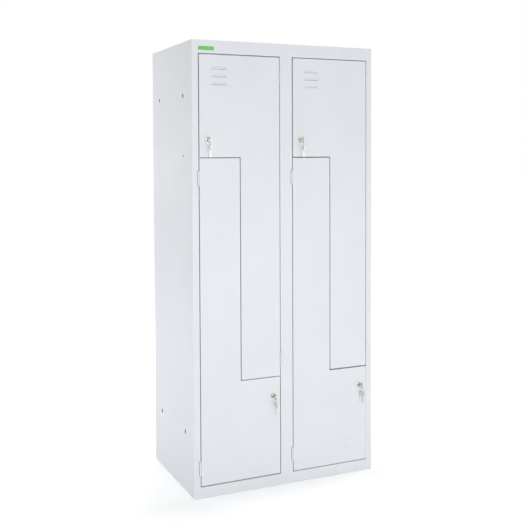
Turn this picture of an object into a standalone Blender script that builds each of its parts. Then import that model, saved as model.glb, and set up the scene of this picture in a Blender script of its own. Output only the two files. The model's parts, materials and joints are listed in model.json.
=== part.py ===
"""A steel Z locker: two columns, each shared by two L-shaped compartments with L-shaped doors.

Places are cabinet coordinates in metres: x to the right, y to the back and z up, with the front face at
y = 0, the middle at x = 0 and the floor at z = 0. At the end the root empty moves the whole cabinet back
a little, so that the world's origin is the middle of the footprint with the keys included.
"""

import math

import bmesh
import bpy
from mathutils import Matrix, Vector

# Cabinet
CABINET_WIDTH = 0.810
CABINET_DEPTH = 0.500
CABINET_HEIGHT = 1.800
SHEET = 0.0008
SEAT = 0.0003
FOLD_RADIUS = 0.0015
CORNER_RADIUS = 0.0025
FOLD_STEPS = 3
PAN_FOLD_STEPS = 2
SMOOTH_DEGREES = 35
OVERRUN = 0.001
WELD = 0.00001

# Front frame and folded panels
SIDE_STILE_WIDTH = 0.0267
CENTRE_STILE_WIDTH = 0.0546
TOP_RAIL_HEIGHT = 0.0512
BOTTOM_RAIL_HEIGHT = 0.0456
STOP_LIP = 0.012
STOP_CLEARANCE = 0.0015
FLOOR_FLANGE = 0.015
PAN_FLANGE = 0.020
PARTITION_FLANGE = 0.018

# Holes that bolt one locker to the next: distance from the front or back face, and height
JOINING_HOLE_INSET_FRONT = 0.104
JOINING_HOLE_INSET_BACK = 0.096
JOINING_HOLE_WIDTH = 0.011
JOINING_HOLE_HEIGHT = 0.0175
JOINING_HOLE_LOW = 0.2415
JOINING_HOLE_HIGH = 1.589
SHELF_HOLE_RISE = 0.009
SHELF_HOLE_WIDTH = 0.009

# Doors
DOOR_GAP = 0.003
DOOR_BLOCK_HEIGHT = 0.401
DOOR_DEPTH = 0.015
DOOR_LIP = 0.012

# Louvres
LOUVRE_COUNT = 3
LOUVRE_PITCH = 0.0305
LOUVRE_LENGTH = 0.069
LOUVRE_HEIGHT = 0.009
LOUVRE_REACH = 0.0034
LOUVRE_AROUND = 12
LOUVRE_ALONG = 9
UPPER_LOUVRE_DROP = 0.0578
UPPER_LOUVRE_INSET = 0.0846
LOWER_LOUVRE_RISE = 0.0654
LOWER_LOUVRE_INSET = 0.0768

# Hinges
HINGE_LENGTH = 0.057
HINGE_INSET_TOP = 0.079
HINGE_INSET_BOTTOM = 0.072
HINGE_SETBACK = 0.003
KNUCKLE_RADIUS = 0.0045
KNUCKLE_SIDES = 20
PIN_RADIUS = 0.0022
PIN_CLEARANCE = 0.00025
PIN_RECESS = 0.002
LEAF_THICKNESS = 0.0012
LEAF_REACH = 0.013
LEAF_TRIM = 0.0006
NOTCH_CLEARANCE = 0.001

# Locks
UPPER_LOCK_INSET = 0.0355
UPPER_LOCK_RISE = 0.0687
LOWER_LOCK_INSET = 0.0318
LOWER_LOCK_DROP = 0.0761
LOCK_HEAD_RADIUS = 0.0105
LOCK_HEAD_THICKNESS = 0.0026
LOCK_HEAD_BEVEL = 0.0010
BARREL_RADIUS = 0.0085
BARREL_SIDES = 24
LOCK_HOLE_CLEARANCE = 0.0003
NUT_RADIUS = 0.0125
NUT_THICKNESS = 0.004
NUT_OVERLAP = 0.0015
NUT_SIDES = 6
PLUG_RADIUS = 0.0055
PLUG_PROUD = 0.0003
CAM_CLEARANCE = 0.0015
CAM_THICKNESS = 0.002
CAM_REACH = 0.033
CAM_WIDTH = 0.016
CAM_BOLT_RADIUS = 0.0045
CAM_BOLT_THICKNESS = 0.003

# Keys
KEY_LENGTH = 0.052
KEY_INSERTION = 0.0215
KEY_THICKNESS = 0.0018
BOW_LENGTH = 0.024
BOW_WIDTH = 0.026
BOW_SQUARENESS = 2.6
BOW_STEPS = 28
BOW_HOLE_RADIUS = 0.0038
BOW_HOLE_INSET = 0.0065
HOLE_STEPS = 16
NECK_WIDTH = 0.0096
BLADE_WIDTH = 0.007
BLADE_TIP_CHAMFER = 0.0014
KEYWAY_CLEARANCE = 0.0004
TOOTH_DEPTH_SHARES = (0.5, 1.0, 0.35, 0.8)
TOOTH_DEPTH = 0.0016
TOOTH_PITCH = 0.0038
TOOTH_FLAT = 0.0012
RING_RADIUS = 0.010
RING_WIRE_RADIUS = 0.0007
RING_AROUND = 28
RING_WIRE_SIDES = 6
RING_DROP = 0.0024

# How each lock's ring and spare key happen to hang, as headings in degrees from the cabinet's x axis
HANGING_HEADINGS = {
    "left_upper": (-12.0, -8.0),
    "left_lower": (20.0, 2.0),
    "right_upper": (-14.0, -10.5),
    "right_lower": (28.0, 14.0),
}

# Coat rails
COAT_RAIL_RADIUS = 0.006
COAT_RAIL_DROP = 0.045
COAT_RAIL_BEND = 0.018
COAT_RAIL_BEND_STEPS = 5
COAT_RAIL_SETBACK = 0.070
COAT_RAIL_ROUND_STEPS = 2

# Label plate
LABEL_WIDTH = 0.0657
LABEL_HEIGHT = 0.0148
LABEL_THICKNESS = 0.0008
LABEL_INSET = 0.0268
LABEL_DROP = 0.0247
LABEL_BEVEL = 0.0003

# Places that follow from the sizes
HALF_WIDTH = CABINET_WIDTH / 2
HALF_STILE = CENTRE_STILE_WIDTH / 2
OPENING_LEFT = -(HALF_WIDTH - SIDE_STILE_WIDTH)
OPENING_BOTTOM = BOTTOM_RAIL_HEIGHT
OPENING_TOP = CABINET_HEIGHT - TOP_RAIL_HEIGHT
STOP_Y = DOOR_DEPTH + STOP_CLEARANCE
INSIDE_FRONT = STOP_Y + SHEET + SEAT
INSIDE_BACK = CABINET_DEPTH - SHEET - SEAT
INSIDE_X = HALF_WIDTH - SHEET - SEAT
INSIDE_TOP = CABINET_HEIGHT - SHEET - SEAT
SKIN_BACK = SHEET + SEAT
LOCK_FRONT = -(LOCK_HEAD_THICKNESS + SEAT)
PLUG_FRONT = LOCK_FRONT - PLUG_PROUD
CAM_FRONT = INSIDE_FRONT + CAM_CLEARANCE
BARREL_BACK = CAM_FRONT - SEAT
CAM_BACK = CAM_FRONT + CAM_THICKNESS
BOW_HOLE_Y = PLUG_FRONT + KEY_INSERTION - KEY_LENGTH + BOW_HOLE_INSET
KEYS_TURN = min(abs(math.radians(spare)) for ring, spare in HANGING_HEADINGS.values())
KEYS_FRONT = BOW_HOLE_Y - BOW_WIDTH / 2 * math.cos(KEYS_TURN)
NOTCH_REACH = KNUCKLE_RADIUS + NOTCH_CLEARANCE
UPPER_SHELF = OPENING_TOP - DOOR_BLOCK_HEIGHT - 1.5 * DOOR_GAP
LOWER_SHELF = OPENING_BOTTOM + DOOR_BLOCK_HEIGHT + 1.5 * DOOR_GAP


def clear_scene():
    for old in list(bpy.data.objects):
        bpy.data.objects.remove(old, do_unlink=True)


def new_collection(name, hidden=False):
    made = bpy.data.collections.new(name)
    bpy.context.scene.collection.children.link(made)
    made.hide_render = hidden
    return made


def new_material(name, colour, roughness, metallic):
    made = bpy.data.materials.new(name)
    made.use_nodes = True
    shader = made.node_tree.nodes["Principled BSDF"]
    shader.inputs["Base Color"].default_value = (*colour, 1.0)
    shader.inputs["Roughness"].default_value = roughness
    shader.inputs["Metallic"].default_value = metallic
    made.diffuse_color = (*colour, 1.0)
    return made


clear_scene()
PARTS = new_collection("z_locker")
CUTTERS = new_collection("cutters", hidden=True)
PAINT = new_material("light_grey_paint", (0.73, 0.76, 0.80), 0.42, 0.0)
INNER_PAINT = new_material("inner_paint", (0.70, 0.73, 0.77), 0.45, 0.0)
GREEN = new_material("green_label", (0.20, 0.60, 0.13), 0.35, 0.0)
ZINC = new_material("zinc_steel", (0.55, 0.56, 0.57), 0.38, 1.0)
NICKEL = new_material("nickel_plate", (0.62, 0.60, 0.55), 0.25, 1.0)


# Objects and meshes


def attach(child, parent):
    """Parents the child and leaves it where it is."""
    bpy.context.view_layer.update()
    child.parent = parent
    child.matrix_parent_inverse = parent.matrix_world.inverted()


def add_empty(name, place, parent=None):
    made = bpy.data.objects.new(name, None)
    PARTS.objects.link(made)
    made.location = place
    made.empty_display_size = KNUCKLE_RADIUS
    if parent:
        attach(made, parent)
    return made


ROOT = add_empty("z_locker_root", (0, 0, 0))


def add_object(name, mesh, material, parent=ROOT):
    made = bpy.data.objects.new(name, mesh)
    PARTS.objects.link(made)
    if not mesh.materials:
        mesh.materials.append(material)
    attach(made, parent)
    return made


def set_pivot(item, pivot, place):
    """Puts the object's origin on its joint's axis, under the pivot there, and leaves its shape in place."""
    item.data.transform(Matrix.Translation(-Vector(place)))
    item.location = place
    attach(item, pivot)


def mesh_from(bm, name):
    mesh = bpy.data.meshes.new(name)
    bm.to_mesh(mesh)
    bm.free()
    return mesh


def shade_smooth(mesh):
    mesh.shade_smooth()
    mesh.set_sharp_from_angle(angle=math.radians(SMOOTH_DEGREES))


def evaluated_mesh(item, name):
    """The object's final shape as a new mesh, with loose caps welded."""
    bpy.context.view_layer.update()
    graph = bpy.context.evaluated_depsgraph_get()
    mesh = bpy.data.meshes.new_from_object(item.evaluated_get(graph))
    mesh.name = name
    bm = bmesh.new()
    bm.from_mesh(mesh)
    bmesh.ops.remove_doubles(bm, verts=bm.verts, dist=WELD)
    bm.to_mesh(mesh)
    bm.free()
    mesh.transform(item.matrix_world)
    return mesh


def combine(item, other, operation):
    step = item.modifiers.new(operation.lower(), "BOOLEAN")
    step.operation = operation
    step.solver = "EXACT"
    step.object = other


def add_helper(name, mesh, parent=ROOT):
    """An object that only cuts or joins, and isn't a part."""
    made = bpy.data.objects.new(name, mesh)
    CUTTERS.objects.link(made)
    made.hide_render = True
    made.display_type = "WIRE"
    attach(made, parent)
    return made


def cut(item, mesh):
    combine(item, add_helper("cut_" + mesh.name, mesh, item), "DIFFERENCE")


def join(item, mesh):
    combine(item, add_helper("join_" + mesh.name, mesh, item), "UNION")


def fused(name, base, joins=(), cuts=()):
    """One mesh: the base mesh with others joined to it and then others cut from it."""
    item = add_helper(name, base)
    helpers = [item]
    for others, operation in ((joins, "UNION"), (cuts, "DIFFERENCE")):
        for other in others:
            helpers.append(add_helper(name, other))
            combine(item, helpers[-1], operation)
    mesh = evaluated_mesh(item, name)
    for helper in helpers:
        bpy.data.objects.remove(helper)
    shade_smooth(mesh)
    return mesh


def solidify(item, side):
    """Gives an open surface the sheet's thickness, along its normals (1) or against them (-1)."""
    step = item.modifiers.new("sheet", "SOLIDIFY")
    step.thickness = SHEET
    step.offset = side
    step.use_even_offset = True
    step.use_quality_normals = True


# Directions: each matrix carries a drawing plane's x, y and z into the cabinet


def upright(x=0.0, y=0.0, z=0.0):
    return Matrix.Translation((x, y, z))


def facing_front(x=0.0, y=0.0, z=0.0):
    """The plane's x runs right, its y up and its z to the front."""
    return Matrix.Translation((x, y, z)) @ Matrix.Rotation(math.pi / 2, 4, "X")


def facing_right(x=0.0, y=0.0, z=0.0):
    """The plane's x runs back, its y up and its z to the right."""
    return Matrix.Translation((x, y, z)) @ Matrix(((0, 0, 1), (1, 0, 0), (0, 1, 0))).to_4x4()


# Outlines and simple solids


def rounded(points, radii, steps=FOLD_STEPS):
    """An open path whose inner corners are arcs, with one radius for each corner."""
    path = [Vector(points[0])]
    for before, corner, after, radius in zip(points, points[1:], points[2:], radii):
        corner = Vector(corner)
        arrive = (corner - Vector(before)).normalized()
        leave = (Vector(after) - corner).normalized()
        turn = math.atan2(arrive.x * leave.y - arrive.y * leave.x, arrive.dot(leave))
        start = corner - arrive * radius * math.tan(abs(turn) / 2)
        centre = start + Vector((-arrive.y, arrive.x)) * math.copysign(radius, turn)
        for step in range(steps + 1):
            path.append(centre + Matrix.Rotation(turn * step / steps, 2) @ (start - centre))
    path.append(Vector(points[-1]))
    return path


def ellipse(width, height, steps):
    angles = [2 * math.pi * (step + 0.5) / steps for step in range(steps)]
    return [(width / 2 * math.cos(a), height / 2 * math.sin(a)) for a in angles]


def stadium(low, high, radius, steps=HOLE_STEPS):
    """An upright bar with round ends about two centres, given by their heights."""
    angles = [2 * math.pi * step / steps for step in range(steps // 2 + 1)]
    top = [(radius * math.cos(a), high + radius * math.sin(a)) for a in angles]
    bottom = [(-radius * math.cos(a), low - radius * math.sin(a)) for a in angles]
    return top + bottom


def prism(name, outlines, low, high, matrix):
    """A flat plate: the first outline outside, any others as holes, between two heights of the plane's z."""
    curve = bpy.data.curves.new(name, "CURVE")
    curve.dimensions = "2D"
    curve.fill_mode = "BOTH"
    curve.extrude = (high - low) / 2
    for outline in outlines:
        spline = curve.splines.new("POLY")
        spline.points.add(len(outline) - 1)
        for point, (x, y) in zip(spline.points, outline):
            point.co = (x, y, 0, 1)
        spline.use_cyclic_u = True
    item = add_helper(name, curve)
    mesh = evaluated_mesh(item, name)
    bpy.data.objects.remove(item)
    mesh.transform(matrix @ upright(z=(low + high) / 2))
    return mesh


def boxes(name, corner_pairs):
    """One mesh of boxes that don't touch, each from its lowest to its highest corner."""
    bm = bmesh.new()
    for low, high in corner_pairs:
        size = Vector(high) - Vector(low)
        middle = (Vector(high) + Vector(low)) / 2
        bmesh.ops.create_cube(bm, size=1, matrix=Matrix.LocRotScale(middle, None, size))
    return mesh_from(bm, name)


def cylinder(name, radius, low, high, sides, matrix):
    """A cylinder along the plane's z, between two heights."""
    bm = bmesh.new()
    middle = upright(z=(low + high) / 2)
    bmesh.ops.create_cone(
        bm, segments=sides, radius1=radius, radius2=radius, depth=high - low, cap_ends=True,
        matrix=matrix @ middle,
    )
    return mesh_from(bm, name)


# Sheet metal

PLANES = {
    "xy": lambda a, b, c: Vector((a, b, c)),
    "xz": lambda a, b, c: Vector((a, c, b)),
    "yz": lambda a, b, c: Vector((c, a, b)),
}


def folded_sheet(name, profile, plane, span, material=PAINT):
    """A sheet bent along a profile and run across a span, with its metal on the left of the profile's run."""
    place = PLANES[plane]
    bm = bmesh.new()
    line = [bm.verts.new(place(a, b, span[0])) for a, b in profile]
    edges = [bm.edges.new(pair) for pair in zip(line, line[1:])]
    grown = bmesh.ops.extrude_edge_only(bm, edges=edges)["geom"]
    across = place(0, 0, span[1] - span[0])
    bmesh.ops.translate(bm, vec=across, verts=[v for v in grown if isinstance(v, bmesh.types.BMVert)])
    bm.normal_update()
    run = Vector(profile[1]) - Vector(profile[0])
    first = line[0].link_faces[0]
    if first.normal.dot(place(-run.y, run.x, 0)) < 0:
        bmesh.ops.reverse_faces(bm, faces=bm.faces)
    mesh = mesh_from(bm, name)
    shade_smooth(mesh)
    item = add_object(name, mesh, material)
    solidify(item, 1.0)
    return item


def extrude_rim(bm, edges, move):
    """Extrudes a closed rim and moves each new point by a rule. Returns the new rim."""
    grown = bmesh.ops.extrude_edge_only(bm, edges=edges)["geom"]
    for item in grown:
        if isinstance(item, bmesh.types.BMVert):
            item.co = move(item.co)
    return [e for e in grown if isinstance(e, bmesh.types.BMEdge) and e.is_boundary]


def moved_inwards(outline, width):
    """The corners of an outline of level and upright edges that runs anticlockwise, moved inwards."""
    inner = []
    for before, corner, after in zip(outline[-1:] + outline, outline, outline[1:] + outline[:1]):
        shift = Vector((0, 0))
        for start, end in ((before, corner), (corner, after)):
            run = (Vector(end) - Vector(start)).normalized()
            shift += Vector((-run.y, run.x)) * width
        inner.append(Vector(corner) + shift)
    return inner


def folded_pan(name, outline, depth, lip, matrix, material):
    """A sheet whose rim is folded back by a depth and, where it has a lip, inwards again."""
    bm = bmesh.new()
    corners = [bm.verts.new((x, y, 0)) for x, y in outline]
    face = bm.faces.new(corners)
    rim = extrude_rim(bm, list(face.edges), lambda point: point - Vector((0, 0, depth)))
    if lip:
        inner = moved_inwards(outline, lip)

        def to_lip(point):
            nearest = min(range(len(outline)), key=lambda i: (Vector(outline[i]) - point.xy).length)
            return inner[nearest].to_3d() - Vector((0, 0, depth))

        extrude_rim(bm, rim, to_lip)
    bm.normal_update()
    bmesh.ops.recalc_face_normals(bm, faces=bm.faces)
    if face.normal.z < 0:
        bmesh.ops.reverse_faces(bm, faces=bm.faces)
    mesh = mesh_from(bm, name)
    mesh.transform(matrix)
    shade_smooth(mesh)
    item = add_object(name, mesh, material)
    fold = item.modifiers.new("folds", "BEVEL")
    fold.width = FOLD_RADIUS
    fold.segments = PAN_FOLD_STEPS
    fold.limit_method = "ANGLE"
    solidify(item, -1.0)
    return item


# The layout of the columns and doors


class Column:
    def __init__(self, name, left, right, wall_left, wall_right):
        self.name = name
        self.left = left
        self.right = right
        self.wall_left = wall_left
        self.wall_right = wall_right
        self.middle = (left + right) / 2


class Door:
    """An L-shaped door's edges, hinge line and lock. hand is 1 where it lies right of its hinges, else -1."""

    def __init__(self, column, upper):
        lowest = OPENING_BOTTOM + DOOR_GAP
        highest = OPENING_TOP - DOOR_GAP
        self.name = column.name + ("_upper" if upper else "_lower")
        self.upper = upper
        self.left = column.left + DOOR_GAP
        self.right = column.right - DOOR_GAP
        if upper:
            self.hand = -1
            self.hinge_x = column.right - DOOR_GAP / 2 + HINGE_SETBACK
            self.top = highest
            self.step = highest - DOOR_BLOCK_HEIGHT
            self.bottom = lowest + DOOR_BLOCK_HEIGHT + DOOR_GAP
            strip = column.middle + DOOR_GAP / 2
            self.outline = [
                (self.left, self.step), (strip, self.step), (strip, self.bottom),
                (self.right, self.bottom), (self.right, self.top), (self.left, self.top),
            ]
            self.lock = Vector((self.left + UPPER_LOCK_INSET, 0, self.step + UPPER_LOCK_RISE))
            self.strip_middle = (strip + self.right) / 2
            self.louvre_x = self.left + UPPER_LOUVRE_INSET
            self.louvre_z = self.top - UPPER_LOUVRE_DROP - (LOUVRE_COUNT - 1) * LOUVRE_PITCH
        else:
            self.hand = 1
            self.hinge_x = column.left + DOOR_GAP / 2 - HINGE_SETBACK
            self.bottom = lowest
            self.step = lowest + DOOR_BLOCK_HEIGHT
            self.top = highest - DOOR_BLOCK_HEIGHT - DOOR_GAP
            strip = column.middle - DOOR_GAP / 2
            self.outline = [
                (self.left, self.bottom), (self.right, self.bottom), (self.right, self.step),
                (strip, self.step), (strip, self.top), (self.left, self.top),
            ]
            self.lock = Vector((self.right - LOWER_LOCK_INSET, 0, self.step - LOWER_LOCK_DROP))
            self.strip_middle = (strip + self.left) / 2
            self.louvre_x = self.right - LOWER_LOUVRE_INSET
            self.louvre_z = self.bottom + LOWER_LOUVRE_RISE
        self.hinge_heights = {"bottom": self.bottom + HINGE_INSET_BOTTOM, "top": self.top - HINGE_INSET_TOP}


COLUMNS = (
    Column("left", OPENING_LEFT, -HALF_STILE, -INSIDE_X, -SHEET / 2 - SEAT),
    Column("right", HALF_STILE, -OPENING_LEFT, SHEET / 2 + SEAT, INSIDE_X),
)
DOORS = [Door(column, upper) for column in COLUMNS for upper in (True, False)]


def hinge_notches(name, doors, side):
    """Boxes that clear the knuckles, on the frame's side (-1) or the door's side (1) of the hinge lines."""
    half = HINGE_LENGTH / 2 + NOTCH_CLEARANCE
    pairs = []
    for door in doors:
        near = door.hinge_x + door.hand * HINGE_SETBACK
        far = door.hinge_x + side * door.hand * NOTCH_REACH
        for z in door.hinge_heights.values():
            pairs.append(((min(near, far), -OVERRUN, z - half), (max(near, far), NOTCH_REACH, z + half)))
    return boxes(name, pairs)


# Cabinet


def joining_holes(name, x):
    """Cutters for the side's holes: slots that bolt two lockers together and a round one above the shelf."""
    front = JOINING_HOLE_INSET_FRONT
    back = CABINET_DEPTH - JOINING_HOLE_INSET_BACK
    straight = (JOINING_HOLE_HEIGHT - JOINING_HOLE_WIDTH) / 2
    slot = stadium(-straight, straight, JOINING_HOLE_WIDTH / 2)
    holes = [(slot, y, z) for y in (front, back) for z in (JOINING_HOLE_LOW, JOINING_HOLE_HIGH)]
    shelf_hole = ellipse(SHELF_HOLE_WIDTH, SHELF_HOLE_WIDTH, HOLE_STEPS)
    holes.append((shelf_hole, front, UPPER_SHELF + SHELF_HOLE_RISE))
    depth = SHEET + OVERRUN
    return [prism(name, [shape], -depth, depth, facing_right(x, y, z)) for shape, y, z in holes]


def side_panel(name, side):
    """A side with its front stile and stop lip in one sheet. side is -1 (left) or 1 (right)."""
    outer = side * HALF_WIDTH
    inner = outer - side * SIDE_STILE_WIDTH
    lip = inner - side * STOP_LIP
    profile = rounded(
        [(outer, CABINET_DEPTH), (outer, 0), (inner, 0), (inner, STOP_Y), (lip, STOP_Y)],
        (CORNER_RADIUS, FOLD_RADIUS, FOLD_RADIUS),
    )
    if side > 0:
        profile.reverse()
    panel = folded_sheet(name, profile, "xy", (0, CABINET_HEIGHT))
    low_x, high_x = sorted((inner + side * FOLD_RADIUS, inner - side * (STOP_LIP + OVERRUN)))
    back = INSIDE_FRONT + OVERRUN
    cut(panel, boxes(name + "_corners", [
        ((low_x, -OVERRUN, -OVERRUN), (high_x, back, OPENING_BOTTOM + SEAT)),
        ((low_x, -OVERRUN, OPENING_TOP - SEAT), (high_x, back, CABINET_HEIGHT + OVERRUN)),
    ]))
    nearby = [door for door in DOORS if abs(door.hinge_x - inner) < DOOR_GAP]
    cut(panel, hinge_notches(name + "_hinges", nearby, -1))
    for hole in joining_holes(name + "_hole", outer):
        cut(panel, hole)


def rail(name, profile, lip_span, fold_span):
    """A front rail between the side stiles, with its stop lip and fold cut where the stiles cross it."""
    end = -OPENING_LEFT + FOLD_RADIUS - SEAT
    item = folded_sheet(name, profile, "yz", (-end, end))
    lip_end = -OPENING_LEFT - STOP_LIP - SEAT
    lip_break = HALF_STILE + STOP_LIP + SEAT
    lip_front = STOP_Y - FOLD_RADIUS
    lip_back = INSIDE_FRONT + OVERRUN
    cut(item, boxes(name + "_lip", [
        ((left, lip_front, lip_span[0]), (right, lip_back, lip_span[1]))
        for left, right in ((-end - OVERRUN, -lip_end), (-lip_break, lip_break), (lip_end, end + OVERRUN))
    ]))
    flat = HALF_STILE - FOLD_RADIUS + SEAT
    cut(item, boxes(name + "_fold", [
        ((-flat, -OVERRUN, fold_span[0]), (flat, FOLD_RADIUS + SEAT, fold_span[1])),
    ]))


def bottom_rail():
    points = [
        (STOP_Y, OPENING_BOTTOM + STOP_LIP), (STOP_Y, OPENING_BOTTOM), (0, OPENING_BOTTOM),
        (0, 0), (FLOOR_FLANGE, 0),
    ]
    profile = rounded(points, (FOLD_RADIUS,) * 3)
    lip_span = (OPENING_BOTTOM - SHEET - OVERRUN, OPENING_BOTTOM + STOP_LIP + OVERRUN)
    rail("bottom_rail", profile, lip_span, (OPENING_BOTTOM - FOLD_RADIUS, OPENING_BOTTOM + OVERRUN))


def top_rail():
    points = [(0, CABINET_HEIGHT), (0, OPENING_TOP), (STOP_Y, OPENING_TOP), (STOP_Y, OPENING_TOP - STOP_LIP)]
    profile = rounded(points, (FOLD_RADIUS,) * 2)
    lip_span = (OPENING_TOP - STOP_LIP - OVERRUN, OPENING_TOP + SHEET + OVERRUN)
    rail("top_rail", profile, lip_span, (OPENING_TOP - OVERRUN, OPENING_TOP + FOLD_RADIUS))


def centre_stile():
    points = [
        (-HALF_STILE - STOP_LIP, STOP_Y), (-HALF_STILE, STOP_Y), (-HALF_STILE, 0),
        (HALF_STILE, 0), (HALF_STILE, STOP_Y), (HALF_STILE + STOP_LIP, STOP_Y),
    ]
    low = OPENING_BOTTOM - FOLD_RADIUS + SEAT
    high = OPENING_TOP + FOLD_RADIUS - SEAT
    item = folded_sheet("centre_stile", rounded(points, (FOLD_RADIUS,) * 4), "xy", (low, high))
    outside = HALF_STILE + STOP_LIP + OVERRUN
    flat = HALF_STILE - FOLD_RADIUS
    back = INSIDE_FRONT + OVERRUN
    cut(item, boxes("centre_stile_ends", [
        ((left, -OVERRUN, bottom), (right, back, top))
        for left, right in ((-outside, -flat), (flat, outside))
        for bottom, top in ((low - OVERRUN, OPENING_BOTTOM + SEAT), (OPENING_TOP - SEAT, high + OVERRUN))
    ]))
    nearby = [door for door in DOORS if abs(door.hinge_x) < CENTRE_STILE_WIDTH]
    cut(item, hinge_notches("centre_stile_hinges", nearby, -1))


def level_panel(name, front, top):
    """The top or base panel: a pan with its rim folded down, between the sides."""
    outline = [(-INSIDE_X, front), (INSIDE_X, front), (INSIDE_X, INSIDE_BACK), (-INSIDE_X, INSIDE_BACK)]
    folded_pan(name, outline, PAN_FLANGE, 0, upright(z=top), PAINT)


def back_panel():
    low = (-INSIDE_X, INSIDE_BACK + SEAT, 0)
    high = (INSIDE_X, CABINET_DEPTH, CABINET_HEIGHT)
    add_object("back_panel", boxes("back_panel", [(low, high)]), PAINT)


def centre_partition():
    """The wall between the columns, with its front edge folded behind the centre stile."""
    flange = 2 * SKIN_BACK + SHEET
    points = [(PARTITION_FLANGE, flange), (SHEET / 2, flange), (SHEET / 2, INSIDE_BACK)]
    span = (OPENING_BOTTOM + SEAT, INSIDE_TOP)
    item = folded_sheet("centre_partition", rounded(points, (FOLD_RADIUS,)), "xy", span, INNER_PAINT)
    left, right = -SHEET - OVERRUN, PARTITION_FLANGE + OVERRUN
    panel_edge = INSIDE_BACK - SHEET - SEAT
    cut(item, boxes("centre_partition_corners", [
        ((left, -OVERRUN, OPENING_TOP - SEAT), (right, INSIDE_FRONT, CABINET_HEIGHT)),
        ((left, panel_edge, CABINET_HEIGHT - PAN_FLANGE - SEAT), (right, CABINET_DEPTH, CABINET_HEIGHT)),
    ]))


def z_divider(column):
    """The two shelves and the wall between them that part a column's two L-shaped compartments."""
    half = SHEET / 2
    middle = column.middle
    foot = LOWER_SHELF + half + SEAT
    head = UPPER_SHELF - half - SEAT
    for part, left, right, low, high in (
        ("high_shelf", column.wall_left, middle + half, UPPER_SHELF - half, UPPER_SHELF + half),
        ("wall", middle - half, middle + half, foot, head),
        ("low_shelf", middle - half, column.wall_right, LOWER_SHELF - half, LOWER_SHELF + half),
    ):
        name = f"{column.name}_divider_{part}"
        sheet = boxes(name, [((left, INSIDE_FRONT, low), (right, INSIDE_BACK, high))])
        add_object(name, sheet, INNER_PAINT)


def coat_rail(name, x, top):
    """A round bar that runs from front to back, with both ends bent up to what it hangs from."""
    front = INSIDE_FRONT + COAT_RAIL_SETBACK
    back = INSIDE_BACK - COAT_RAIL_SETBACK
    low = top - COAT_RAIL_DROP
    points = [(front, top), (front, low), (back, low), (back, top)]
    path = rounded(points, (COAT_RAIL_BEND,) * 2, COAT_RAIL_BEND_STEPS)
    curve = bpy.data.curves.new(name, "CURVE")
    curve.dimensions = "3D"
    curve.bevel_depth = COAT_RAIL_RADIUS
    curve.bevel_resolution = COAT_RAIL_ROUND_STEPS
    curve.use_fill_caps = True
    spline = curve.splines.new("POLY")
    spline.points.add(len(path) - 1)
    for point, (y, z) in zip(spline.points, path):
        point.co = (x, y, z, 1)
    add_object(name, curve, ZINC)


def label_plate():
    left = -HALF_WIDTH + LABEL_INSET
    top = CABINET_HEIGHT - LABEL_DROP
    low = (left, -SEAT - LABEL_THICKNESS, top - LABEL_HEIGHT)
    high = (left + LABEL_WIDTH, -SEAT, top)
    item = add_object("label_plate", boxes("label_plate", [(low, high)]), GREEN)
    edge = item.modifiers.new("edge", "BEVEL")
    edge.width = LABEL_BEVEL


# Doors


def louvre_hood(name, length, height, reach, floor, back):
    """A bulge with round ends in a plane that faces front, above a floor and in front of a back plane."""
    bm = bmesh.new()
    bmesh.ops.create_uvsphere(
        bm, u_segments=LOUVRE_AROUND, v_segments=LOUVRE_ALONG, radius=height,
        matrix=Matrix.Rotation(math.pi / 2, 4, "Y"),
    )
    for vertex in bm.verts:
        if abs(vertex.co.x) > WELD:
            vertex.co.x += math.copysign(length / 2 - height, vertex.co.x)
        vertex.co.z *= reach / height
    for place, normal in (((0, floor, 0), (0, -1, 0)), ((0, 0, back), (0, 0, -1))):
        everything = bm.verts[:] + bm.edges[:] + bm.faces[:]
        halved = bmesh.ops.bisect_plane(
            bm, geom=everything, plane_co=place, plane_no=normal, clear_outer=True,
        )
        rim = [item for item in halved["geom_cut"] if isinstance(item, bmesh.types.BMEdge)]
        bmesh.ops.contextual_create(bm, geom=rim)
    bmesh.ops.recalc_face_normals(bm, faces=bm.faces)
    return mesh_from(bm, name)


def louvres(item, door):
    """Presses a column of louvres into a door: each a hood that is open below, with a slot behind it."""
    hood = louvre_hood("louvre_hood", LOUVRE_LENGTH, LOUVRE_HEIGHT, LOUVRE_REACH, 0, -SHEET / 2)
    hollow = louvre_hood(
        "louvre_hollow", LOUVRE_LENGTH - 2 * SHEET, LOUVRE_HEIGHT - SHEET, LOUVRE_REACH - SHEET,
        -OVERRUN / 2, -LOUVRE_REACH,
    )
    for shape, add in ((hood, join), (hollow, cut)):
        for index in range(LOUVRE_COUNT):
            mesh = shape.copy()
            mesh.transform(facing_front(door.louvre_x, 0, door.louvre_z + index * LOUVRE_PITCH))
            add(item, mesh)


def door_skin(door, pivot):
    name = door.name + "_door"
    item = folded_pan(name, door.outline, DOOR_DEPTH, DOOR_LIP, facing_front(), PAINT)
    set_pivot(item, pivot, pivot_place(door))
    cut(item, hinge_notches(name + "_hinges", [door], 1))
    radius = BARREL_RADIUS + LOCK_HOLE_CLEARANCE
    place = facing_front(door.lock.x, 0, door.lock.z)
    cut(item, cylinder(name + "_lock_hole", radius, -SHEET - OVERRUN, OVERRUN, BARREL_SIDES, place))
    louvres(item, door)


def pivot_place(door):
    """The door's hinge line, at the door's foot."""
    return Vector((door.hinge_x, 0, door.bottom))


# Hinges: the lower half stays on the frame with its pin, and the upper half lifts off with the door


def leaf_box(side, near, low, high):
    """A leaf in the gap beside the door. side is 1 where that gap is right of the hinge line, else -1."""
    left, right = sorted((side * near, side * (near + LEAF_THICKNESS)))
    return boxes("leaf", [((left, 0, low), (right, LEAF_REACH, high))])


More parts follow.
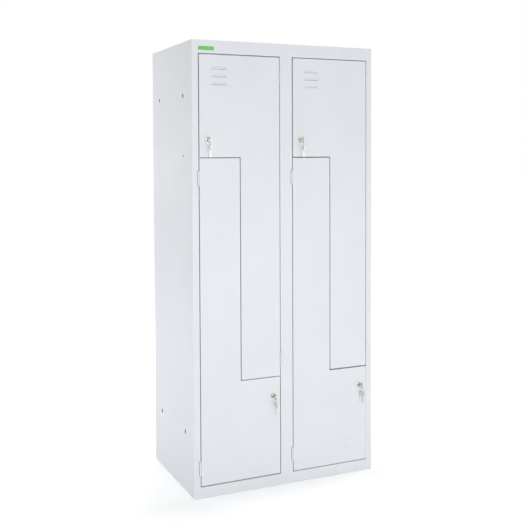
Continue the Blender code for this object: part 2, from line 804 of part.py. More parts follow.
def hinge_frame_half(side):
    half = HINGE_LENGTH / 2
    knuckle = cylinder("knuckle", KNUCKLE_RADIUS, -half, -SEAT / 2, KNUCKLE_SIDES, upright())
    pin = cylinder("pin", PIN_RADIUS, -half / 2, half - PIN_RECESS, KNUCKLE_SIDES, upright())
    leaf = leaf_box(side, HINGE_SETBACK - LEAF_THICKNESS, -half + LEAF_TRIM, -LEAF_TRIM)
    return fused("hinge_frame_half", knuckle, joins=(leaf, pin))


def hinge_door_half(side):
    half = HINGE_LENGTH / 2
    knuckle = cylinder("knuckle", KNUCKLE_RADIUS, SEAT / 2, half, KNUCKLE_SIDES, upright())
    bore = cylinder("bore", PIN_RADIUS + PIN_CLEARANCE, -OVERRUN, half + OVERRUN, KNUCKLE_SIDES, upright())
    leaf = leaf_box(side, HINGE_SETBACK, LEAF_TRIM, half - LEAF_TRIM)
    return fused("hinge_door_half", knuckle, joins=(leaf,), cuts=(bore,))


def hinges(door, pivot):
    for place, z in door.hinge_heights.items():
        name = f"{door.name}_{place}_hinge"
        for half, mesh, parent in (
            ("frame_half", FRAME_HALVES[door.hand], ROOT),
            ("door_half", DOOR_HALVES[door.hand], pivot),
        ):
            item = add_object(f"{name}_{half}", mesh, PAINT)
            item.location = (door.hinge_x, 0, z)
            attach(item, parent)


# Locks and keys, drawn in planes that face front, with the door's face at z = 0


def lock_barrel():
    """The lock's round body with its head in front of the door and a nut behind the door's skin."""
    bore = PLUG_RADIUS + LOCK_HOLE_CLEARANCE
    front = LOCK_HEAD_THICKNESS + SEAT
    profile = [
        (bore, front), (LOCK_HEAD_RADIUS - LOCK_HEAD_BEVEL, front),
        (LOCK_HEAD_RADIUS, front - LOCK_HEAD_BEVEL), (LOCK_HEAD_RADIUS, SEAT),
        (BARREL_RADIUS, SEAT), (BARREL_RADIUS, -BARREL_BACK), (bore, -BARREL_BACK),
    ]
    bm = bmesh.new()
    points = [bm.verts.new((radius, 0, z)) for radius, z in profile]
    for pair in zip(points, points[1:] + points[:1]):
        bm.edges.new(pair)
    turned = add_helper("barrel_profile", mesh_from(bm, "barrel_profile"))
    screw = turned.modifiers.new("turned", "SCREW")
    screw.steps = BARREL_SIDES
    screw.render_steps = BARREL_SIDES
    screw.use_merge_vertices = True
    screw.merge_threshold = WELD
    body = evaluated_mesh(turned, "lock_body")
    bpy.data.objects.remove(turned)
    hexagon = ellipse(2 * NUT_RADIUS, 2 * NUT_RADIUS, NUT_SIDES)
    eye = ellipse(2 * (BARREL_RADIUS - NUT_OVERLAP), 2 * (BARREL_RADIUS - NUT_OVERLAP), BARREL_SIDES)
    nut = prism("nut", [hexagon, eye], -SKIN_BACK - NUT_THICKNESS, -SKIN_BACK, upright())
    mesh = fused("lock_barrel", body, joins=(nut,))
    mesh.transform(facing_front())
    return mesh


def lock_cam():
    """The plug that the key turns, with the cam on its back end pointing up and a bolt that holds it."""
    overlap = CAM_THICKNESS / 2
    plug = cylinder("plug", PLUG_RADIUS, -CAM_BACK + overlap, -PLUG_FRONT, BARREL_SIDES, upright())
    width = CAM_WIDTH / 2
    cam = prism("cam", [stadium(0, CAM_REACH - width, width)], -CAM_BACK, -CAM_FRONT, upright())
    bolt_back = -CAM_BACK - CAM_BOLT_THICKNESS
    bolt = cylinder("bolt", CAM_BOLT_RADIUS, bolt_back, -CAM_BACK + overlap / 2, NUT_SIDES, upright())
    slot_x = KEY_THICKNESS / 2 + KEYWAY_CLEARANCE
    slot_y = BLADE_WIDTH / 2 + KEYWAY_CLEARANCE
    slot_end = -PLUG_FRONT - KEY_INSERTION - KEYWAY_CLEARANCE
    keyway = boxes("keyway", [((-slot_x, -slot_y, slot_end), (slot_x, slot_y, -PLUG_FRONT + OVERRUN))])
    mesh = fused("lock_cam", plug, joins=(cam, bolt), cuts=(keyway,))
    mesh.transform(facing_front())
    return mesh


def key_outline():
    """The key lying along x with its bow's hole at the origin and its tip towards +x."""
    bow = []
    for step in range(BOW_STEPS):
        angle = 2 * math.pi * (step + 0.5) / BOW_STEPS
        c, s = math.cos(angle), math.sin(angle)
        x = BOW_LENGTH / 2 * (1 + math.copysign(abs(c) ** (2 / BOW_SQUARENESS), c))
        y = BOW_WIDTH / 2 * math.copysign(abs(s) ** (2 / BOW_SQUARENESS), s)
        if c < 0 or abs(y) > NECK_WIDTH / 2:
            bow.append((x, y))
    shoulder = KEY_LENGTH - KEY_INSERTION - SEAT
    neck, blade = NECK_WIDTH / 2, BLADE_WIDTH / 2
    outline = bow + [
        (shoulder, -neck), (shoulder, -blade), (KEY_LENGTH - BLADE_TIP_CHAMFER, -blade),
        (KEY_LENGTH, -blade + BLADE_TIP_CHAMFER), (KEY_LENGTH, blade - BLADE_TIP_CHAMFER),
    ]
    crest = KEY_LENGTH - BLADE_TIP_CHAMFER
    for share in TOOTH_DEPTH_SHARES:
        valley = crest - TOOTH_PITCH / 2
        floor = blade - TOOTH_DEPTH * share
        outline += [(crest, blade), (valley + TOOTH_FLAT / 2, floor), (valley - TOOTH_FLAT / 2, floor)]
        crest -= TOOTH_PITCH
    outline += [(crest, blade), (shoulder, blade), (shoulder, neck)]
    return [(x - BOW_HOLE_INSET, y) for x, y in outline]


def key_mesh():
    hole = ellipse(2 * BOW_HOLE_RADIUS, 2 * BOW_HOLE_RADIUS, HOLE_STEPS)
    mesh = prism("key", [key_outline(), hole], -KEY_THICKNESS / 2, KEY_THICKNESS / 2, upright())
    shade_smooth(mesh)
    return mesh


def ring_mesh():
    """A split ring's closed loop, below the origin, which is the middle of the hole that it hangs in."""
    bpy.ops.mesh.primitive_torus_add(
        major_segments=RING_AROUND, minor_segments=RING_WIRE_SIDES,
        major_radius=RING_RADIUS, minor_radius=RING_WIRE_RADIUS,
    )
    made = bpy.context.object
    mesh = made.data
    bpy.data.objects.remove(made)
    mesh.transform(facing_front(z=-RING_DROP - RING_RADIUS))
    shade_smooth(mesh)
    return mesh


def turned_to(item, x_axis, z_axis, place):
    """Turns the object so that its own x and z run along these directions."""
    x_axis, z_axis = Vector(x_axis), Vector(z_axis)
    turn = Matrix((x_axis, z_axis.cross(x_axis), z_axis)).transposed()
    item.matrix_world = Matrix.Translation(place) @ turn.to_4x4()


def lock(door, door_pivot):
    barrel = add_object(door.name + "_lock_barrel", BARREL, NICKEL)
    barrel.location = door.lock
    attach(barrel, door_pivot)

    lock_pivot = add_empty(door.name + "_lock_pivot", door.lock, door_pivot)
    cam = add_object(door.name + "_lock_cam", CAM, NICKEL)
    cam.location = door.lock
    attach(cam, lock_pivot)

    hole = door.lock + Vector((0, BOW_HOLE_Y, 0))
    key_pivot = add_empty(door.name + "_key_pivot", hole, lock_pivot)
    key = add_object(door.name + "_key", KEY, NICKEL)
    turned_to(key, (0, 1, 0), (1, 0, 0), hole)
    attach(key, key_pivot)

    ring_heading, spare_heading = (math.radians(heading) for heading in HANGING_HEADINGS[door.name])
    ring_pivot = add_empty(door.name + "_ring_pivot", hole, key_pivot)
    ring = add_object(door.name + "_key_ring", RING, ZINC)
    ring.location = hole
    ring.rotation_euler.z = ring_heading
    attach(ring, ring_pivot)

    wire = hole - Vector((0, 0, RING_DROP + 2 * RING_RADIUS))
    spare_pivot = add_empty(door.name + "_spare_key_pivot", wire, ring_pivot)
    spare = add_object(door.name + "_spare_key", KEY, NICKEL)
    normal = (math.cos(spare_heading), math.sin(spare_heading), 0)
    turned_to(spare, (0, 0, -1), normal, wire - Vector((0, 0, RING_DROP)))
    attach(spare, spare_pivot)


FRAME_HALVES = {hand: hinge_frame_half(hand) for hand in (1, -1)}
DOOR_HALVES = {hand: hinge_door_half(hand) for hand in (1, -1)}
BARREL = lock_barrel()
CAM = lock_cam()
KEY = key_mesh()
RING = ring_mesh()


def build():
    side_panel("left_side_panel", -1)
    side_panel("right_side_panel", 1)
    back_panel()
    level_panel("top_panel", SKIN_BACK, CABINET_HEIGHT)
    level_panel("base_panel", INSIDE_FRONT, OPENING_BOTTOM)
    top_rail()
    bottom_rail()
    centre_stile()
    centre_partition()
    label_plate()
    for column in COLUMNS:
        z_divider(column)
    for door in DOORS:
        pivot = add_empty(door.name + "_door_pivot", pivot_place(door), ROOT)
        door_skin(door, pivot)
        hinges(door, pivot)
        lock(door, pivot)
        ceiling = INSIDE_TOP if door.upper else UPPER_SHELF - SHEET / 2 - SEAT
        coat_rail(door.name + "_coat_rail", door.strip_middle, ceiling)
    ROOT.location.y = -(CABINET_DEPTH + KEYS_FRONT) / 2


build()
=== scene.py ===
"""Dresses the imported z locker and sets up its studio. Metres, +Z up, fronts facing -Y."""
import json
import math

import bmesh
import bpy
from mathutils import Matrix, Vector

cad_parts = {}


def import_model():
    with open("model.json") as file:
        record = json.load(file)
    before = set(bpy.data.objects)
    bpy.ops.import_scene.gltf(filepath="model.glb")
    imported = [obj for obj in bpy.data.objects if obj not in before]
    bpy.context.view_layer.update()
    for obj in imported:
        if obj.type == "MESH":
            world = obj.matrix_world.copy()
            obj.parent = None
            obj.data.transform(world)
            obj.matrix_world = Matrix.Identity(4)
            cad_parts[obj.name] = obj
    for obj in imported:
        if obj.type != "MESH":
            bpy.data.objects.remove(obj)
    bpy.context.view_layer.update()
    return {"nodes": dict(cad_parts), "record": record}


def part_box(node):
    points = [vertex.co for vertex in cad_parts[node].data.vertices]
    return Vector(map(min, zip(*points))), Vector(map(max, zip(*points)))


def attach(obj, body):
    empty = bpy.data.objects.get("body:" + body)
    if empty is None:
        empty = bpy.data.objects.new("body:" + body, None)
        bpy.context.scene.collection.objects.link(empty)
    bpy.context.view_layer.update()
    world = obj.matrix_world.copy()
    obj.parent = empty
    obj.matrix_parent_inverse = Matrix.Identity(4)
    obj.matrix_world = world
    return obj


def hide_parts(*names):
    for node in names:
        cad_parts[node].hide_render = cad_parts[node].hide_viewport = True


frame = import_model()

# Sheet metal
SHEET = 0.0008
SEAT = 0.0003
FOLD_RADIUS = 0.0015
FOLD_STEPS = 5
EDGE_ROUND = 0.00018
EDGE_STEPS = 2
EDGE_ANGLE = math.radians(50)
CUT_EDGE_ANGLE = math.radians(60)
FLAT_ANGLE = math.radians(0.5)
SMOOTH_ANGLE = math.radians(32)
SEAM_SEARCH = 0.00005
WELD = 0.000002

# Doors
DOOR_GAP = 0.003
DOOR_BLOCK_HEIGHT = 0.401
DOOR_DEPTH = 0.015
DOOR_LIP = 0.012
HINGE_LENGTH = 0.057
HINGE_SETBACK = 0.003
NOTCH_CLEARANCE = 0.001
NOTCH_REACH = 0.0055
CUT_REACH = 0.003
LOCK_HOLE_SIDES = 48
# How far each door's edges stand from the solid's own, as the photographed gaps are uneven
EDGE_NUDGES = {
    "left_upper": {"left": 0.0006, "right": 0.0007, "top": -0.0011, "step": -0.0005},
    "left_lower": {"bottom": 0.0012},
    "right_upper": {"left": 0.0012, "right": 0.0006, "bottom": 0.0014, "step": 0.0004},
    "right_lower": {"right": 0.0024},
}

# Louvres
LOUVRE_COUNT = 3
LOUVRE_PITCH = 0.0305
LOUVRE_LENGTH = 0.069
LOUVRE_REACH = 0.0021
LOUVRE_SLIT = 0.0009
LOUVRE_TAPER = 0.0095
LOUVRE_TOP = 0.012
LOUVRE_ROUNDNESS = 1.12
LOUVRE_MARGIN = 0.0006
LOUVRE_HALF = LOUVRE_LENGTH / 2 + LOUVRE_MARGIN
LOUVRE_LEAST_END = 0.05
LOUVRE_COLUMNS = 92
LOUVRE_ROWS = 16
UPPER_LOUVRE_DROP = 0.0578
UPPER_LOUVRE_INSET = 0.0846
LOWER_LOUVRE_RISE = 0.0654
LOWER_LOUVRE_INSET = 0.0768

# Hinges
KNUCKLE_RADIUS = 0.0045
KNUCKLE_CHAMFER = 0.0005
KNUCKLE_SIDES = 40
PIN_RADIUS = 0.0022
PIN_RECESS = 0.0012
PIN_SIDES = 32
LEAF_THICKNESS = 0.0012
LEAF_START = 0.001
LEAF_REACH = 0.013
LEAF_TRIM = 0.0006

# Locks
LOCK_SIDES = 64
LOCK_CHAMFER = 0.0003
LOCK_HEAD_RADIUS = 0.0105
LOCK_HEAD_THICKNESS = 0.0026
LOCK_HEAD_ROUND = 0.0009
LOCK_HEAD_ROUND_STEPS = 6
LOCK_HEAD_GROOVE_RADII = (0.0074, 0.0077, 0.0080, 0.0083)
LOCK_HEAD_BACK_CHAMFER = 0.0002
LOCK_BORE = 0.0058
BARREL_RADIUS = 0.0085
BARREL_BACK = 0.0188
THREAD_PITCH = 0.0010
THREAD_DEPTH = 0.0004
THREAD_FLANK = 0.0005
THREAD_END = 0.0012
HEXAGON = 6
NUT_RADIUS = 0.0125
NUT_THICKNESS = 0.004
NUT_ROUND = 0.0004
NUT_GRIP = 0.0002
PLUG_RADIUS = 0.0055
PLUG_FRONT = 0.0032
PLUG_ROUND = 0.0004
PLUG_ROUND_STEPS = 4
PLUG_IN_CAM = 0.001
KEYWAY_OVERRUN = 0.001
CAM_FRONT = 0.0191
CAM_THICKNESS = 0.002
CAM_REACH = 0.033
CAM_WIDTH = 0.016
CAM_ROUND = 0.0003
CAM_END_STEPS = 20
CAM_BOLT_RADIUS = 0.0045
CAM_BOLT_THICKNESS = 0.003
WASHER_RADIUS = 0.0065
WASHER_THICKNESS = 0.0008
WASHER_SIDES = 40

# Keys
KEY_LENGTH = 0.052
KEY_INSERTION = 0.0215
KEY_THICKNESS = 0.0018
BOW_LENGTH = 0.024
BOW_WIDTH = 0.02588
BOW_SQUARENESS = 2.6
BOW_STEPS = 72
BOW_HOLE_RADIUS = 0.0038
BOW_HOLE_INSET = 0.0065
BOW_HOLE_STEPS = 36
NECK_WIDTH = 0.0096
BLADE_WIDTH = 0.007
BLADE_TIP_CHAMFER = 0.0014
KEYWAY_CLEARANCE = 0.0004
TOOTH_DEPTHS = (0.0008, 0.0016, 0.00056, 0.00128)
TOOTH_PITCH = 0.0038
TOOTH_FLAT = 0.0012
KEY_EDGE_ROUND = 0.00014
KEY_EDGE_ANGLE = math.radians(40)
KEY_CUT_OVERRUN = 0.0004

# The recessed field on a key's bow and the grooves along its blade
FIELD_SHIFT = 0.0027
FIELD_HALF_LENGTH = 0.0056
FIELD_HALF_WIDTH = 0.0092
FIELD_POWER = 0.8
FIELD_STEPS = 48
FIELD_DEPTH = 0.00025
GROOVE_LEVELS = (0.0007, -0.0011)
GROOVE_HALF_WIDTH = 0.0006
GROOVE_DEPTH = 0.00045
GROOVE_RUN_IN = 0.004
GROOVE_RUN_OUT = 0.001

# Split rings, and how far each ring and spare key is turned about the vertical, in degrees
RING_RADIUS = 0.010
RING_WIRE_RADIUS = 0.0006
RING_DROP = 0.0024
RING_TURNS = 1.94
RING_START_SHARE = 0.03
RING_STEPS = 150
RING_SIDES = 12
RING_SPREAD_SHARE = 1.02
RING_CROSSING_STEEPNESS = 26
RING_LEAN_SHARE = 0.02
HANGING_HEADINGS = {
    "left_upper": (-12.0, -8.0),
    "left_lower": (20.0, 2.0),
    "right_upper": (-14.0, -10.5),
    "right_lower": (28.0, 14.0),
}

# Coat rails
COAT_RAIL_RADIUS = 0.006
COAT_RAIL_BEND = 0.018
COAT_RAIL_BEND_STEPS = 14
COAT_RAIL_ROUNDNESS = 7

# Label plate
LABEL_CORNER = 0.0022
LABEL_CORNER_STEPS = 8
LABEL_EDGE_ROUND = 0.0003
LABEL_EDGE_STEPS = 3

# Camera, from a fit to the photograph. Its place counts y from the doors' faces.
LENS = 56.81
SENSOR_WIDTH = 36
LENS_SHIFT = (0.03779, -0.14298)
CAMERA_PLACE = (-1.50180, -3.02346, 1.34685)
CAMERA_RIGHT = Vector((0.91739, -0.39796, -0.00496))
CAMERA_UP = Vector((0.01944, 0.03237, 0.99929))
CAMERA_BACK = Vector((-0.39751, -0.91683, 0.03744))

# Studio
FLOOR_REACH = 14.0
FLOOR_COLOUR = (0.90, 0.90, 0.90, 1)
FLOOR_GLOW = {"From Min": 1.1, "From Max": 4.2, "To Min": 0.29, "To Max": 0.73}
WHITE = (1, 1, 1, 1)
SKY_COLOUR = (0.985, 0.992, 1.0, 1)
SKY_STRENGTH = 0.326
KEY_POWER = 292.0
BAND_POWER = 10.2
SIDE_POWER = 23.8
RIGHT_POWER = 54.0
BACK_POWER = 54.0
TOP_POWER = 27.0

record = frame["record"]
BODY_OF = {node: body for body, nodes in record["behaviour"]["bodies"].items() for node in nodes}
SLOT_OF = {row["node"]: row["material_slot"] for row in record["subparts"]}
DOORS = ("left_upper", "left_lower", "right_upper", "right_lower")
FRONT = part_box("centre_stile")[0].y
# Turns a part drawn with its local z upwards so that z points to the viewer
FACING = Matrix.Rotation(math.pi / 2, 4, "X")
# The part of its range that a noise pattern mostly keeps to
NOISE_LOW, NOISE_HIGH = 0.3, 0.7


# Materials


class Nodes:
    """A material's node tree, with its Principled shader and a short way to add to it."""

    def __init__(self, name):
        self.material = bpy.data.materials.new(name)
        self.material.use_nodes = True
        self.tree = self.material.node_tree
        self.shader = self.tree.nodes["Principled BSDF"]
        self.place = self.add("ShaderNodeTexCoord").outputs["Object"]

    def add(self, kind):
        return self.tree.nodes.new(kind)

    def link(self, source, target):
        self.tree.links.new(source, target)

    def set(self, **values):
        for key, value in values.items():
            self.shader.inputs[key.replace("_", " ")].default_value = value

    def noise(self, scale, detail, stretch=(1, 1, 1), rough=0.5):
        mapping = self.add("ShaderNodeMapping")
        mapping.inputs["Scale"].default_value = stretch
        self.link(self.place, mapping.inputs["Vector"])
        node = self.add("ShaderNodeTexNoise")
        node.inputs["Scale"].default_value = scale
        node.inputs["Detail"].default_value = detail
        node.inputs["Roughness"].default_value = rough
        self.link(mapping.outputs["Vector"], node.inputs["Vector"])
        return node.outputs["Fac"]

    def tones(self, pattern, places, colours):
        """The base colour: one colour at each place of the pattern's range, and blends between them."""
        node = self.add("ShaderNodeValToRGB")
        stops = node.color_ramp.elements
        stops.remove(stops[1])
        stops[0].position = places[0]
        stops[0].color = (*colours[0], 1)
        for position, colour in zip(places[1:], colours[1:]):
            stops.new(position).color = (*colour, 1)
        self.link(pattern, node.inputs["Fac"])
        self.link(node.outputs["Color"], self.shader.inputs["Base Color"])

    def roughness(self, pattern, low, high):
        node = self.add("ShaderNodeMapRange")
        limits = {"From Min": NOISE_LOW, "From Max": NOISE_HIGH, "To Min": low, "To Max": high}
        for key, value in limits.items():
            node.inputs[key].default_value = value
        self.link(pattern, node.inputs["Value"])
        self.link(node.outputs["Result"], self.shader.inputs["Roughness"])

    def bump(self, height, strength, distance):
        node = self.add("ShaderNodeBump")
        node.inputs["Strength"].default_value = strength
        node.inputs["Distance"].default_value = distance
        self.link(height, node.inputs["Height"])
        self.link(node.outputs["Normal"], self.shader.inputs["Normal"])


def scaled(colour, share):
    return tuple(channel * share for channel in colour)


def shades(colour, dark, light):
    """The colour between a darker and a lighter share of itself."""
    return scaled(colour, dark), colour, scaled(colour, light)


def powder_coat(name, colour, roughness):
    """Fine orange peel over a very faint unevenness of tone and gloss."""
    nodes = Nodes(name)
    tone = nodes.noise(scale=5.0, detail=3.0)
    nodes.tones(tone, (0.30, 0.52, 0.72), shades(colour, dark=0.982, light=1.012))
    nodes.roughness(nodes.noise(scale=90.0, detail=3.0), low=roughness - 0.03, high=roughness + 0.04)
    nodes.bump(nodes.noise(scale=620.0, detail=2.0), strength=0.16, distance=0.00012)
    nodes.set(IOR=1.48)
    return nodes.material


def plated(name, colour, tint, roughness):
    """Plated metal with fine wear lines and slightly uneven tone."""
    nodes = Nodes(name)
    nodes.set(Metallic=1.0)
    tone = nodes.noise(scale=260.0, detail=4.0)
    nodes.tones(tone, (0.28, 0.55, 0.78), (scaled(colour, 0.84), colour, tint))
    lines = nodes.noise(scale=900.0, detail=4.0, stretch=(1, 1, 0.12), rough=0.7)
    nodes.roughness(lines, low=roughness - 0.06, high=roughness + 0.10)
    nodes.bump(lines, strength=0.22, distance=0.00006)
    return nodes.material


def spangled(name, colour, roughness):
    """Bright zinc, with its crystals faintly told apart."""
    nodes = Nodes(name)
    nodes.set(Metallic=1.0)
    cells = nodes.add("ShaderNodeTexVoronoi")
    cells.inputs["Scale"].default_value = 240.0
    nodes.link(nodes.place, cells.inputs["Vector"])
    nodes.tones(cells.outputs["Color"], (0.0, 0.5, 1.0), shades(colour, dark=0.86, light=1.10))
    grain = nodes.noise(scale=1500.0, detail=3.0, stretch=(1, 1, 0.2))
    nodes.roughness(grain, low=roughness - 0.05, high=roughness + 0.08)
    nodes.bump(grain, strength=0.15, distance=0.00005)
    return nodes.material


def gloss_label(name, colour):
    """Glossy green, a little deeper in places, with a very fine grain."""
    nodes = Nodes(name)
    tone = nodes.noise(scale=35.0, detail=2.0)
    nodes.tones(tone, (0.30, 0.50, 0.70), shades(colour, dark=0.93, light=1.06))
    grain = nodes.noise(scale=1800.0, detail=2.0)
    nodes.roughness(grain, low=0.20, high=0.28)
    nodes.bump(grain, strength=0.06, distance=0.00004)
    nodes.set(Coat_Weight=0.4, Coat_Roughness=0.08)
    return nodes.material


MATERIALS = {
    "light_grey_paint": powder_coat("light_grey_powder_coat", colour=(0.732, 0.760, 0.793), roughness=0.42),
    "inner_paint": powder_coat("inner_powder_coat", colour=(0.700, 0.732, 0.772), roughness=0.48),
    "green_label": gloss_label("green_gloss", colour=(0.147, 0.548, 0.086)),
    "zinc_steel": spangled("zinc_plate", colour=(0.56, 0.57, 0.58), roughness=0.30),
    "nickel_plate": plated(
        "nickel_plate", colour=(0.68, 0.645, 0.585), tint=(0.76, 0.73, 0.68), roughness=0.44
    ),
}
# The lock heads and plugs are of the same finish, but more polished than the keys. Their darker colour is
# painted shade: it stands in for the dark surroundings that real polished heads mirror
POLISHED_WITH_PAINTED_SHADE = plated("polished_nickel", colour=(0.50, 0.475, 0.43), tint=(0.60, 0.575, 0.53), roughness=0.20)


# Meshes


def placed(name, data):
    """A new object with this data, in the scene."""
    item = bpy.data.objects.new(name, data)
    bpy.context.scene.collection.objects.link(item)
    return item


def finished(bm, name):
    """The mesh of a bmesh, smooth but for its sharp edges."""
    mesh = bpy.data.meshes.new(name)
    bm.to_mesh(mesh)
    bm.free()
    mesh.polygons.foreach_set("use_smooth", [True] * len(mesh.polygons))
    mesh.set_sharp_from_angle(angle=SMOOTH_ANGLE)
    return mesh


def evaluated(item, name):
    """The item's mesh with its modifiers applied. Removes the item."""
    graph = bpy.context.evaluated_depsgraph_get()
    mesh = bpy.data.meshes.new_from_object(item.evaluated_get(graph))
    mesh.name = name
    bpy.data.objects.remove(item)
    return mesh


def without(mesh, cutter, name):
    """The mesh with the cutter's volume taken away."""
    item, tool = placed("helper", mesh), placed("helper", cutter)
    change = item.modifiers.new("cut", "BOOLEAN")
    change.operation = "DIFFERENCE"
    change.solver = "EXACT"
    change.object = tool
    made = evaluated(item, name)
    bpy.data.objects.remove(tool)
    return made


def rounded_edges(mesh, name, width, segments=EDGE_STEPS, angle=EDGE_ANGLE):
    """The mesh with its sharp edges rounded and flat faces kept flat in shading."""
    item = placed("helper", mesh)
    edge = item.modifiers.new("edge", "BEVEL")
    edge.width = width
    edge.segments = segments
    edge.limit_method = "ANGLE"
    edge.angle_limit = angle
    edge.harden_normals = True
    even = item.modifiers.new("even", "WEIGHTED_NORMAL")
    even.keep_sharp = True
    return evaluated(item, name)


def add_box(bm, low, high):
    """A box between its two far corners."""
    place = [(low[i] + high[i]) / 2 for i in range(3)]
    size = [high[i] - low[i] for i in range(3)]
    bmesh.ops.create_cube(bm, size=1, matrix=Matrix.Translation(place) @ Matrix.Diagonal((*size, 1)))


def add_lathe(bm, profile, sides, matrix=Matrix(), closed=False):
    """Turns a profile of (radius, height) around the local z axis."""
    rings = []
    for radius, height in profile:
        if radius < WELD:
            rings.append([bm.verts.new(matrix @ Vector((0, 0, height)))] * sides)
            continue
        turn = [2 * math.pi * step / sides for step in range(sides)]
        rings.append([
            bm.verts.new(matrix @ Vector((radius * math.cos(a), radius * math.sin(a), height))) for a in turn
        ])
    pairs = list(zip(rings, rings[1:] + rings[:1]))
    for low, high in pairs if closed else pairs[:-1]:
        for i in range(sides):
            j = (i + 1) % sides
            corners = []
            for corner in (low[i], low[j], high[j], high[i]):
                if corner not in corners:
                    corners.append(corner)
            if len(corners) > 2:
                bm.faces.new(corners)


def add_prism(bm, outline, low, high, matrix=Matrix(), hole=()):
    """A plate of a flat outline, with one hole through it where a hole is given."""
    rims = []
    for points in (outline, hole):
        if points:
            ends = [[bm.verts.new(matrix @ Vector((x, y, z))) for x, y in points] for z in (low, high)]
            rims.append(ends)
            for i in range(len(points)):
                j = (i + 1) % len(points)
                bm.faces.new((ends[0][i], ends[0][j], ends[1][j], ends[1][i]))
    for end in (0, 1):
        edges = []
        for ends in rims:
            ring = ends[end]
            edges += [bm.edges.get((a, b)) for a, b in zip(ring, ring[1:] + ring[:1])]
        bmesh.ops.triangle_fill(bm, use_beauty=True, edges=edges)
    bmesh.ops.recalc_face_normals(bm, faces=bm.faces)


def arc(centre, radius, start, end, steps):
    """Points on an arc between two angles in degrees."""
    points = []
    for step in range(steps + 1):
        angle = math.radians(start + (end - start) * step / steps)
        points.append((centre[0] + radius * math.cos(angle), centre[1] + radius * math.sin(angle)))
    return points


def circle(radius, sides):
    """The corners of a regular polygon about the origin, as an outline."""
    return arc((0, 0), radius, 0, 360 * (sides - 1) / sides, sides - 1)


def stand_in(node, mesh, matrix=Matrix()):
    """Shows a finished piece in place of a CAD node, on the same body and in the same finish."""
    piece = placed(node + "_finished", mesh)
    piece.matrix_world = matrix
    if not mesh.materials:
        mesh.materials.append(MATERIALS[SLOT_OF[node]])
    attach(piece, BODY_OF[node])
    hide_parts(node)


# Cabinet panels: the CAD's own sheets with smooth folds and rounded cut edges


def sheet_copy(node, axis=None):
    """The node's sheet with its fine edges. Along a given axis it closes the seams at both of its ends."""
    bm = bmesh.new()
    bm.from_mesh(frame["nodes"][node].data)
    bmesh.ops.remove_doubles(bm, verts=bm.verts, dist=WELD)
    if axis is not None:
        for limit, way in zip(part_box(node), (-1, 1)):
            for vertex in bm.verts:
                if abs(vertex.co[axis] - limit[axis]) < SEAM_SEARCH:
                    vertex.co[axis] += way * (SEAT + EDGE_ROUND)
    bmesh.ops.dissolve_limit(bm, angle_limit=FLAT_ANGLE, verts=bm.verts, edges=bm.edges)
    stand_in(node, rounded_edges(finished(bm, node), node + "_finished", EDGE_ROUND, angle=CUT_EDGE_ANGLE))


def panels():
    for node in (
        "left_side_panel", "right_side_panel", "back_panel", "top_panel", "base_panel", "centre_partition",
    ):
        sheet_copy(node)
    for node, axis in (("top_rail", 0), ("bottom_rail", 0), ("centre_stile", 2)):
        sheet_copy(node, axis)
    for side in ("left", "right"):
        for part in ("high_shelf", "wall", "low_shelf"):
            sheet_copy(f"{side}_divider_{part}")


# Doors


class Leaf:
    """A door's edges and places, read from the CAD, in a frame whose y starts at the door's face."""

    def __init__(self, name):
        self.name = name
        low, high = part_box(name + "_door")
        middle = (low.x + high.x) / 2
        nudge = {edge: EDGE_NUDGES[name].get(edge, 0) for edge in ("left", "right", "bottom", "top", "step")}
        left, right = low.x + nudge["left"], high.x + nudge["right"]
        bottom, top = low.z + nudge["bottom"], high.z + nudge["top"]
        if name.endswith("upper"):
            strip = middle + DOOR_GAP / 2
            step = high.z - DOOR_BLOCK_HEIGHT + nudge["step"]
            self.outline = [
                (left, step), (strip, step), (strip, bottom), (right, bottom), (right, top), (left, top),
            ]
            self.hand = -1
            self.hinge_x = high.x + DOOR_GAP / 2 + HINGE_SETBACK
            drop = UPPER_LOUVRE_DROP + (LOUVRE_COUNT - 1) * LOUVRE_PITCH
            self.louvre = (low.x + UPPER_LOUVRE_INSET, high.z - drop)
        else:
            strip = middle - DOOR_GAP / 2
            step = low.z + DOOR_BLOCK_HEIGHT + nudge["step"]
            self.outline = [
                (left, bottom), (right, bottom), (right, step), (strip, step), (strip, top), (left, top),
            ]
            self.hand = 1
            self.hinge_x = low.x - DOOR_GAP / 2 - HINGE_SETBACK
            self.louvre = (high.x - LOWER_LOUVRE_INSET, low.z + LOWER_LOUVRE_RISE)
        low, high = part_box(name + "_lock_barrel")
        self.lock = Vector(((low.x + high.x) / 2, 0, (low.z + high.z) / 2))
        self.hinge_heights = [
            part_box(f"{name}_{end}_hinge_door_half")[1].z - HINGE_LENGTH / 2 for end in ("bottom", "top")
        ]


def moved_in(outline, width):
    """The outline, which runs anticlockwise, moved inwards by the width."""
    inner = []
    for before, corner, after in zip(outline[-1:] + outline, outline, outline[1:] + outline[:1]):
        shift = Vector((0, 0))
        for start, end in ((before, corner), (corner, after)):
            run = (Vector(end) - Vector(start)).normalized()
            shift += Vector((-run.y, run.x)) * width
        inner.append(Vector(corner) + shift)
    return inner


def pan(outline):
    """The door's skin with its edges folded back and in again."""
    bm = bmesh.new()
    rings = [
        [bm.verts.new((x, depth, z)) for x, z in points]
        for points, depth in ((outline, 0), (outline, DOOR_DEPTH), (moved_in(outline, DOOR_LIP), DOOR_DEPTH))
    ]
    bm.faces.new(rings[0])
    for near, far in zip(rings, rings[1:]):
        for i in range(len(near)):
            j = (i + 1) % len(near)
            bm.faces.new((near[j], near[i], far[i], far[j]))
    bm.normal_update()
    item = placed("helper", finished(bm, "pan"))
    fold = item.modifiers.new("folds", "BEVEL")
    fold.width = FOLD_RADIUS
    fold.segments = FOLD_STEPS
    fold.limit_method = "ANGLE"
    sheet = item.modifiers.new("sheet", "SOLIDIFY")
    sheet.thickness = SHEET
    sheet.offset = -1
    sheet.use_even_offset = True
    return evaluated(item, "pan")


